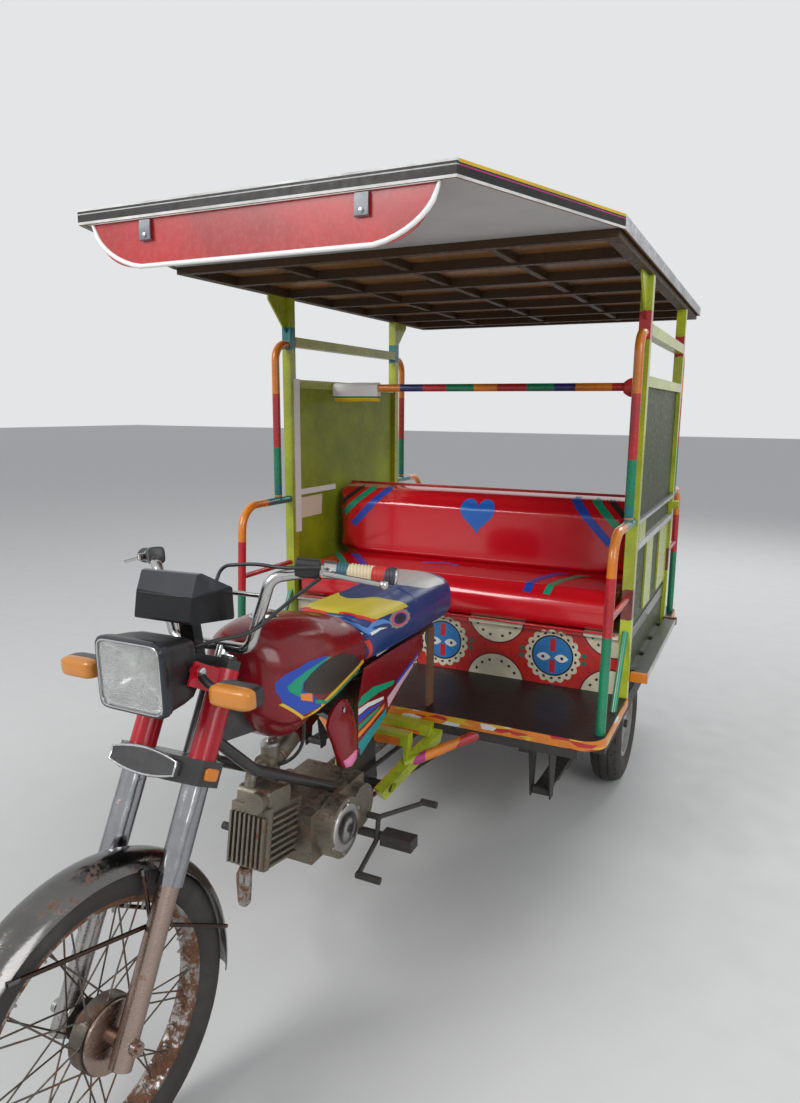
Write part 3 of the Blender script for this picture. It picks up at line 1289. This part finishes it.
def add_saddle():
    """Dark blue saddle with yellow leaves, a pale rear panel and painted sides."""
    stations = [
        (700, 88, 704, 816), (704, 103, 696, 826), (760, 112, 694, 829), (850, 115, 694, 829),
        (960, 117, 694, 828), (1060, 119, 694, 828), (1150, 119, 695, 829), (1240, 119, 696, 829),
        (1275, 117, 698, 828), (1288, 104, 702, 822),
    ]
    rings = []
    for k in range(41):
        y, half, low, high = spline(stations, k / 40)
        middle, tall = (low + high) / 2, (high - low) / 2
        back = max(0.0, 1 - (y - 700) / 190)
        ring = []
        for a, b in superellipse(half, tall, 3.8, 64):
            z = middle + b
            lean = 1 - 0.07 * max(0, b / tall)
            ring.append(bike(a * lean, y + (seam_y(z) + 8 - 700) * back, z))
        rings.append(ring)
    limits = bike(-122, 684, 692.5), bike(122, 1292, 834)
    saddle = inflate("saddle", loft(rings), 0.012, limits, 0.006, 1.5, "blue_vinyl")
    for v in saddle.data.vertices:
        v.co.y = max(v.co.y, FRONT_Y + (seam_y(v.co.z * 1000) + 4) / 1000)
    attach(saddle, "chassis")
    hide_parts("rider_seat")
    tree = tree_of(saddle)
    for s, word in SIDES:
        for k, (ink, outline) in enumerate(SADDLE_TOP):
            shape = [(s * x / 1000, FRONT_Y + y / 1000) for x, y in outline]
            name = f"saddle_top_{word}_{k}"
            decal(name, shape, "Z", -1, tree, ink, 0.0010 + 0.0004 * k, 0.0003)
        side_marks(f"saddle_side_{word}", SADDLE_SIDE, s, tree)
        rosette = []
        for ink, radius, ripple in (
            ("grey_green", 32, 2.5), ("rose", 26, 0), ("cloth_blue", 19, 0), ("black", 12, 0)
        ):
            ring = []
            for n in range(36):
                t = 2 * math.pi * n / 36
                wave = radius + ripple * math.cos(12 * t)
                ring.append((926 + 1.7 * wave * math.cos(t), 780 + 0.66 * wave * math.sin(t)))
            rosette.append((ink, ring))
        side_marks(f"saddle_rosette_{word}", rosette, s, tree, 0.0009, 0.0003, 0.0003)
    for k, (ink, line, width) in enumerate(SADDLE_FRONT):
        shape = stripe([(x / 1000, z / 1000) for x, z in line], width / 1000)
        decal(f"saddle_front_{k}", shape, "Y", 1, tree, ink, 0.0009 + 0.0002 * k, 0.0003)
    rear = [(x / 1000, FRONT_Y + y / 1000) for x, y in SADDLE_REAR]
    decal("saddle_rear_panel", rear, "Z", -1, tree, "grey_panel", 0.0010)
    # Sewn edge low down each side, and a stitched welt across behind the yellow part
    for s, word in SIDES:
        starts = [bike(s * 400, 806 + 460 * k / 24, 712) for k in range(25)]
        seam_on(f"saddle_edge_{word}", tree, starts, (-s, 0, 0), 0.0024)
    starts = [bike(-108 + 216 * k / 20, 1040, 900) for k in range(21)]
    seam_on("saddle_welt", tree, starts, (0, 0, -1), 0.0022)


def crowned_plate(outline, x, side, thick, crown, rings=7):
    """A closed shell from an outline of (y, z) millimetres: flat inside, crowned outside."""
    middle = [sum(p[i] for p in outline) / len(outline) for i in range(2)]
    dense = []
    for p, q in zip(outline, outline[1:] + outline[:1]):
        pieces = max(1, int(math.dist(p, q) / 14))
        for k in range(pieces):
            dense.append([p[i] + (q[i] - p[i]) * k / pieces for i in range(2)])
    layers = [[bike(side * at, *p) for p in dense] for at in (x, x + thick * 0.6)]
    for k in range(rings):
        t = k / (rings - 1)
        shrink = 1 - 0.9016 * t**1.6
        at = side * (x + thick + crown * (1 - (1 - t) ** 2))
        ring = [[middle[i] + (p[i] - middle[i]) * shrink for i in range(2)] for p in dense]
        layers.append([bike(at, *p) for p in ring])
    return loft(layers)


def add_side_covers():
    """Maroon pods with a pink lens, and striped tail skins."""
    pod = [
        (612, 600), (622, 620), (640, 634), (660, 641), (680, 643), (700, 634), (716, 614),
        (728, 590), (738, 556), (744, 520), (742, 492), (728, 468), (704, 461), (682, 468),
        (664, 490), (650, 516), (636, 548), (620, 578),
    ]
    tail = [
        (782, 687), (860, 688), (1000, 688), (1129, 687), (1138, 640), (1106, 622), (1000, 576),
        (904, 521), (763, 468), (751, 481), (752, 606),
    ]
    lens = [(668, 494), (690, 500), (722, 502), (738, 494), (732, 474), (706, 463), (684, 470)]
    for s, word in SIDES:
        shell = add_mesh(f"pod_{word}", *crowned_plate(pod, 81, s, 7, 11.5), "maroon", sharp=40)
        if s > 0:
            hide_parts("side_covers")
        skin = crowned_plate(tail, 86, s, 1.8, 2.0)
        skin = add_mesh(f"tail_skin_{word}", *skin, "maroon", sharp=40)
        add_mesh(f"pod_lens_{word}", *crowned_plate(lens, 90, s, 2, 7.5), "pink", sharp=40)
        marks = f"tail_mark_{word}"
        side_marks(marks, TAIL_STRIPES, s, tree_of(skin), 0.0005, grow=0.0001, step=0.01)
        screw = [bike(s * 97, 668, 622)]
        studs(f"pod_screw_{word}", screw, (s, 0, 0), 0.006, 0.003, "chrome", sides=16)
        # Studs that hold the covers
        stud = [bike(s * 20, 692, 612), bike(s * 84, 692, 612)]
        tube(f"pod_stud_{word}", stud, 0.006, "dark_steel", smooth=False)
        stud = [bike(s * 70, 1000, 669), bike(s * 87, 1000, 669)]
        tube(f"tail_stud_{word}", stud, 0.005, "dark_steel", smooth=False)


def add_engine_details():
    """Case covers with their screws, a carburettor top and a fuel hose."""
    for side, face, radius, word in ((1, 124, 58, "left"), (-1, 118, 54, "right")):
        centre = bike(side * face, CRANK_Y, CRANK_Z)
        profile = [(-0.001, radius / 1000 - 0.001), (0.003, radius / 1000 - 0.003)]
        profile += [(0.006, 0.036), (0.0045, 0.033), (0.008, 0.016), (0.0085, 0.004)]
        disc = lathe(centre, (side, 0, 0), profile, 56)
        cover = add_mesh(f"case_cover_{word}", *disc, "polished", sharp=40)
        spots = []
        for k in range(6):
            t = math.radians(60 * k + 20)
            spots.append(centre + Vector((0, math.cos(t), math.sin(t))) * (radius + 5) / 1000)
        studs(f"case_screws_{word}", spots, (side, 0, 0), 0.0042, 0.003, "steel")
    cap = [(0, 0.0215), (0.003, 0.0225), (0.009, 0.0215), (0.011, 0.010)]
    cap = lathe(bike(-20, 538, 565), (0, 0, 1), cap + [(0.016, 0.006), (0.018, 0.004)], 32)
    add_mesh("carburettor_top", *cap, "steel", sharp=40)
    hose = [(0, 540, 520), (22, 552, 528), (44, 566, 556), (50, 572, 592), (50, 572, 620)]
    tube("fuel_hose", [bike(*place) for place in hose], 0.004, "black_plastic")


# Cabin trims


def add_cabin_trims():
    # Cloth rolled on the padded bar's right end, and a red pad on the left one
    folds = []
    for k in range(25):
        x = -572 + 187 * k / 24
        ring = []
        for n in range(28):
            t = 2 * math.pi * n / 28
            radius = 18.5 + 1.2 * math.sin(5 * t + 0.03 * x) + 0.8 * math.sin(11 * t)
            drop = 30 * max(0.0, -math.sin(t)) ** 3
            place = -125 + radius * math.cos(t), 1380 + radius * math.sin(t) - drop
            ring.append(cabin(x, *place))
        folds.append(ring)
    wrap = plain("cloth_wrap", (0.72, 0.72, 0.70), 0.8, 500, 0.0004, 0.2)
    stops = [(1.344, YELLOW), (1.350, GREEN), (1.45, (0.76, 0.76, 0.74))]
    wrap.set("Base Color", bands(wrap, wrap.axis("Z"), 1.32, stops))
    M["cloth_wrap"] = wrap
    add_mesh("bar_wrap", *loft(folds), "cloth_wrap", sharp=80)
    knot = []
    for k in range(9):
        swell = math.sin(math.pi * k / 8)
        ring = superellipse(17 + 8 * swell, 18 + 12 * swell, 2, 20)
        knot.append([cabin(490 + 50 * k / 8, -125 + y, 1378 + z) for y, z in ring])
    add_mesh("bar_knot", *loft(knot), "red_ink", sharp=80)
    profile = [(0, 0.0135), (0.001, 0.0155), (0.012, 0.0155), (0.013, 0.0135)]
    add_mesh("bar_band_blue", *lathe(cabin(545, -125, 1380), (1, 0, 0), profile, 24), "blue")
    # Bright edge round the sign, and its strap bolts
    line = [(-398, 1686), (398, 1686)]
    for k in range(1, 9):
        t = k / 8
        line.append((392 - 122 * t * (0.35 + 0.65 * t), 1668 - 76 * (1 - (1 - t) ** 1.35)))
    line += [(-x, z) for x, z in reversed(line[2:])]
    line = [cabin(x, -1422, z) for x, z in line]
    tube("sign_edge", line, 0.0048, "white_ink", cyclic=True, smooth=False)
    for s, word in SIDES:
        hook = ((3, 1682), (-4, 1680), (-5.5, 1664), (-5.5, 1642), (-2, 1640))
        rings = []
        for y, z in hook:
            front = [cabin(s * 250 + a, -1421 + y, z) for a in (-14, 14)]
            rings.append(front + [p + Vector((0, -0.003, 0)) for p in front[::-1]])
        add_mesh(f"sign_strap_{word}", *loft(rings), "strap_grey", sharp=30)
        bolt = [cabin(s * 250, -1429.5, 1650)]
        studs(f"sign_bolt_{word}", bolt, (0, -1, 0), 0.005, 0.003, "chrome", sides=16)
    # White strips on the right panel's inner face and a small blank plate there
    upright = [(-405, 1405), (-372, 1405), (-372, 872), (-405, 872)]
    level = [(-372, 1020), (-110, 1020), (-110, 1000), (-372, 1000)]
    plate = [(-372, 990), (-210, 990), (-216, 916), (-372, 916)]
    for name, x, outline, ink in (
        ("strip_upright", -572, upright, "white_ink"),
        ("strip_level", -584.5, level, "white_ink"),
        ("blank_plate", -584.5, plate, "cream"),
    ):
        strip = prism_of([cabin(x, y, z) for y, z in outline], Vector((0.003, 0, 0)))
        add_mesh(name, *strip, ink, smooth=False)


# Stage: floor, soft light and the photograph's camera


def stage():
    size = 40.0
    corners = [(-size, -size, 0), (size, -size, 0), (size, size, 0), (-size, size, 0)]
    data = bpy.data.meshes.new("floor")
    data.from_pydata(corners, [], [(0, 1, 2, 3)])
    floor = new_object("floor", data)
    data.materials.append(plain("floor_pale", (0.62, 0.62, 0.61), 0.7, 3, 0.0005, 0.1).mat)
    world = bpy.data.worlds.new("studio")
    bpy.context.scene.world = world
    world.use_nodes = True
    nodes, links = world.node_tree.nodes, world.node_tree.links
    nodes.clear()
    out = nodes.new("ShaderNodeOutputWorld")
    lit, seen = nodes.new("ShaderNodeBackground"), nodes.new("ShaderNodeBackground")
    swap, path = nodes.new("ShaderNodeMixShader"), nodes.new("ShaderNodeLightPath")
    lit.inputs[0].default_value = (0.80, 0.83, 0.88, 1)
    lit.inputs[1].default_value = 0.55
    seen.inputs[0].default_value = (0.86, 0.87, 0.88, 1)
    seen.inputs[1].default_value = 0.9
    any_ray = path.outputs["Is Camera Ray"]
    for kind in ("Is Glossy Ray", "Is Transmission Ray"):
        either = nodes.new("ShaderNodeMath")
        either.operation = "MAXIMUM"
        links.new(any_ray, either.inputs[0])
        links.new(path.outputs[kind], either.inputs[1])
        any_ray = either.outputs[0]
    links.new(any_ray, swap.inputs[0])
    links.new(lit.outputs[0], swap.inputs[1])
    links.new(seen.outputs[0], swap.inputs[2])
    links.new(swap.outputs[0], out.inputs[0])
    for name, place, aim, power, width in (
        ("key", (-2.6, -4.6, 4.2), (0, -0.2, 0.8), 210, 2.6),
        ("fill", (4.2, -3.0, 3.2), (0, 0.2, 0.8), 110, 3.0),
        ("rear", (1.0, 5.0, 4.5), (0, 0.8, 0.9), 140, 3.0),
    ):
        data = bpy.data.lights.new(name, "AREA")
        data.energy = power
        data.size = width
        lamp = new_object(name, data)
        lamp.location = place
        lamp.rotation_euler = (Vector(aim) - Vector(place)).to_track_quat("-Z", "Y").to_euler()


def camera():
    data = bpy.data.cameras.new("photo_view")
    cam = new_object("photo_view", data)
    right = Vector((0.90059, 0.43460, 0.00751))
    up = Vector((-0.08871, 0.16686, 0.98198))
    ahead = Vector((-0.42552, 0.88503, -0.18882))
    turn = Matrix((right, up, -ahead)).transposed().to_4x4()
    cam.matrix_world = Matrix.Translation(Vector((0.9476, -0.8086 + FRONT_Y, 1.3089))) @ turn
    data.sensor_width = 36
    data.lens = 777.5 / 1103 * 36
    data.shift_y = 6 / 1103
    data.clip_start = 0.05
    bpy.context.scene.camera = cam


# Building


carry_materials()
add_wheels()
add_headlight()
add_speedometer()
add_grips()
add_indicators()
add_yoke_trim()
add_tank()
add_saddle()
add_side_covers()
add_engine_details()
add_upholstery()
add_cabin_trims()
stage()
camera()
bpy.context.scene.view_settings.view_transform = "Standard"
